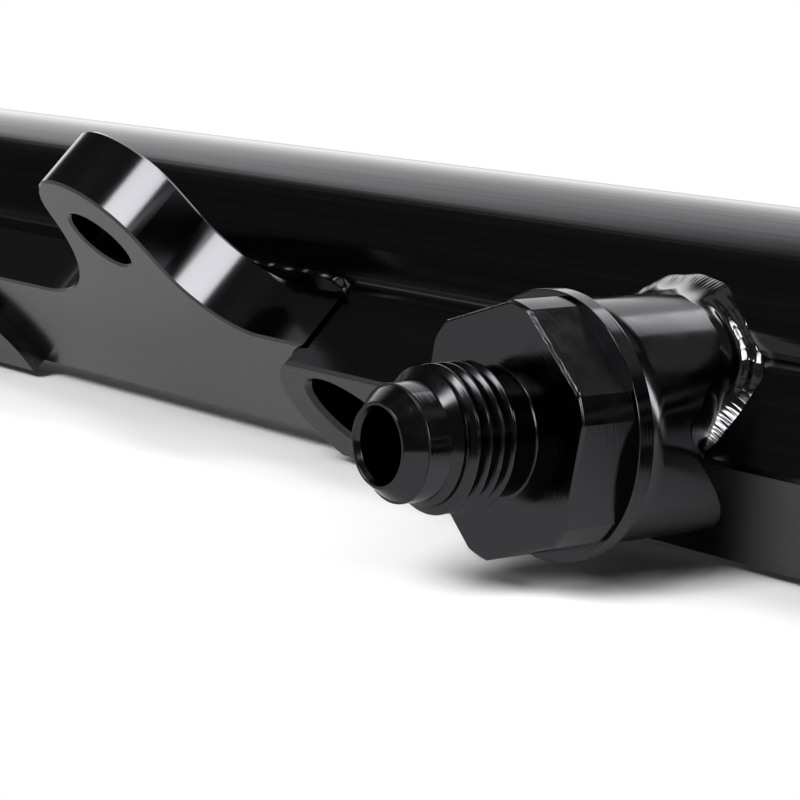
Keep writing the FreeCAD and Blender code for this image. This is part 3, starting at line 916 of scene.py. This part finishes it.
room = {"wall": "#ffffff", "dim": "#555555"}

lamps = [
    # name; compass, elevation and roll in degrees; distance in metres; width and height in
    # degrees; radiance
    ("stripFront", -14, 39, 29, 1.2, 42, 15, 14.0),
    ("stripSide", 86, 26, -47, 1.2, 51, 20, 14.5),
    ("backdrop", -131, 26, 0, 1.5, 70, 60, 2.65),
    ("backCorner", -163, 40, 0, 1.2, 22, 30, 6.5),
    ("backRight", 162, 42, 0, 1.2, 36, 26, 0.35),
    ("ceiling", 0, 90, 0, 1.2, 50, 50, 0.3),
]

# What isn't metal has its own lamps, which make the shadow under the fitting.
paperLamps = [
    ("sideKey", 101, 26, 0, 1.2, 22, 22, 23.0),
    ("sideFill", 62, 40, 0, 1.2, 24, 16, 5.3),
    ("frontKey", 23, 36, 0, 1.2, 26, 19, 26.0),
    ("topKey", 10, 72, 0, 1.2, 30, 24, 2.6),
]
lampEdge = {"X": 0.1, "Y": 0.3}  # shares of a lamp's width and height over which its light fades


def makeTable(values):
    # White paper that keeps the part's shadow near it and turns plain white in front of, behind
    # and past the ends of the rail. Seen from its back it lets the view through, so the part shows
    # from below as well. The sheet ends close in front of the fitting, where the metal reflects
    # the dark room instead.
    material, tree, output = newMaterial("whitePaper")
    paper = addNode(tree, "ShaderNodeBsdfDiffuse", {"Color": linearColour(values["paper"])})
    white = addNode(tree, "ShaderNodeEmission", {"Strength": 1.0})
    geometry = addNode(tree, "ShaderNodeNewGeometry")
    middle = (portAim + values["railMiddle"] * portWay) * millimetre
    offset = addNode(tree, "ShaderNodeVectorMath", {
        0: geometry.outputs["Position"],
        1: tuple(middle),
    }, operation="SUBTRACT")
    fades = []
    for axis, (start, end) in (2, values["fadeFront"]), (0, values["fadeEnds"]):
        along = addNode(tree, "ShaderNodeVectorMath", {
            0: offset.outputs[0],
            1: tuple(portAxes[axis]),
        }, operation="DOT_PRODUCT")
        away = addNode(tree, "ShaderNodeMath", {0: along.outputs["Value"]}, operation="ABSOLUTE")
        fades.append(addNode(tree, "ShaderNodeMapRange", {
            "Value": away.outputs[0],
            "From Min": start * millimetre,
            "From Max": end * millimetre,
        }, interpolation_type="SMOOTHSTEP"))
    fade = addNode(tree, "ShaderNodeMath", {
        0: fades[0].outputs[0],
        1: fades[1].outputs[0],
    }, operation="MAXIMUM")
    seen = addNode(tree, "ShaderNodeMixShader", {
        0: fade.outputs[0],
        1: paper.outputs[0],
        2: white.outputs[0],
    })
    path = addNode(tree, "ShaderNodeLightPath")
    ray = addNode(tree, "ShaderNodeMath", {
        0: path.outputs["Is Camera Ray"],
        1: path.outputs["Is Glossy Ray"],
    }, operation="MAXIMUM")
    front = addNode(tree, "ShaderNodeMixShader", {
        0: ray.outputs[0],
        1: paper.outputs[0],
        2: seen.outputs[0],
    })
    clear = addNode(tree, "ShaderNodeBsdfTransparent")
    sides = addNode(tree, "ShaderNodeMixShader", {
        0: geometry.outputs["Backfacing"],
        1: front.outputs[0],
        2: clear.outputs[0],
    })
    tree.links.new(sides.outputs[0], output.inputs[0])
    far, edge, corner = values["far"], values["front"], values["corner"]
    along = np.array([-far, corner, corner, far, far, corner, -far])
    outward = np.array([far, far, edge, edge, -far, -far, -far])
    points = placePort(along, -values["drop"], outward) * millimetre
    mesh = bpy.data.meshes.new("table")
    mesh.from_pydata(points.tolist(), [], [(0, 1, 2, 5, 6), (2, 3, 4, 5)])
    mesh.materials.append(material)
    sheet = bpy.data.objects.new("table", mesh)
    bpy.context.scene.collection.objects.link(sheet)


def makeWorld(values):
    # White behind the part for the camera, and a dim room for everything else.
    world = bpy.data.worlds.new("studioRoom")
    bpy.context.scene.world = world
    world.use_nodes = True
    tree = world.node_tree
    tree.nodes.clear()
    output = addNode(tree, "ShaderNodeOutputWorld")
    path = addNode(tree, "ShaderNodeLightPath")
    dim = addNode(tree, "ShaderNodeBackground", {"Color": linearColour(values["dim"])})
    white = addNode(tree, "ShaderNodeBackground", {"Color": linearColour(values["wall"])})
    mix = addNode(tree, "ShaderNodeMixShader", {
        0: path.outputs["Is Camera Ray"],
        1: dim.outputs[0],
        2: white.outputs[0],
    })
    tree.links.new(mix.outputs[0], output.inputs[0])


def softenLamp(data, edge):
    # A softbox is brightest in its middle: the light rises over a share of its width at each side.
    # Parametric runs from 0 to 1 across the lamp.
    data.use_nodes = True
    tree = data.node_tree
    tree.nodes.clear()
    output = addNode(tree, "ShaderNodeOutputLight")
    across = addNode(tree, "ShaderNodeNewGeometry").outputs["Parametric"]
    split = addNode(tree, "ShaderNodeSeparateXYZ", {"Vector": across})
    level = 1.0
    for side, share in edge.items():
        centred = addNode(tree, "ShaderNodeMath", {
            0: split.outputs[side],
            1: 0.5,
        }, operation="SUBTRACT")
        away = addNode(tree, "ShaderNodeMath", {0: centred.outputs[0]}, operation="ABSOLUTE")
        fade = addNode(tree, "ShaderNodeMapRange", {
            "Value": away.outputs[0],
            "From Min": 0.5,
            "From Max": 0.5 - share,
        }, interpolation_type="SMOOTHSTEP")
        level = addNode(tree, "ShaderNodeMath", {
            0: fade.outputs[0],
            1: level,
        }, operation="MULTIPLY").outputs[0]
    glow = addNode(tree, "ShaderNodeEmission", {"Strength": level})
    tree.links.new(glow.outputs[0], output.inputs[0])


def makeLamps(rows, onMetal):
    # A lamp's power is its radiance times its area times pi. Each one shows either in the metal's
    # reflections or on the paper.
    for name, compass, elevation, roll, distance, wide, high, radiance in rows:
        turn, lift, roll = np.radians([compass, elevation, roll])
        level = math.cos(lift)
        way = np.array([math.sin(turn) * level, math.sin(lift), math.cos(turn) * level])
        side = np.array([math.cos(turn), 0, -math.sin(turn)])
        rise = np.cross(way, side)
        long = math.cos(roll) * side + math.sin(roll) * rise
        short = np.cross(way, long)
        data = bpy.data.lights.new(name, "AREA")
        data.shape = "RECTANGLE"
        data.size = 2 * distance * math.tan(math.radians(wide) / 2)
        data.size_y = 2 * distance * math.tan(math.radians(high) / 2)
        data.energy = radiance * math.pi * data.size * data.size_y
        if onMetal:
            softenLamp(data, lampEdge)
        lamp = bpy.data.objects.new(name, data)
        bpy.context.scene.collection.objects.link(lamp)
        lamp.visible_camera = False
        lamp.visible_glossy = onMetal
        lamp.visible_diffuse = not onMetal
        spot = aimMetres + distance * way @ portAxes
        lamp.matrix_world = matrixFrom([long @ portAxes, short @ portAxes, way @ portAxes, spot])


makeTable(table)
makeWorld(room)
makeLamps(lamps, True)
makeLamps(paperLamps, False)
bpy.context.scene.view_settings.view_transform = "Standard"
print("studio set")
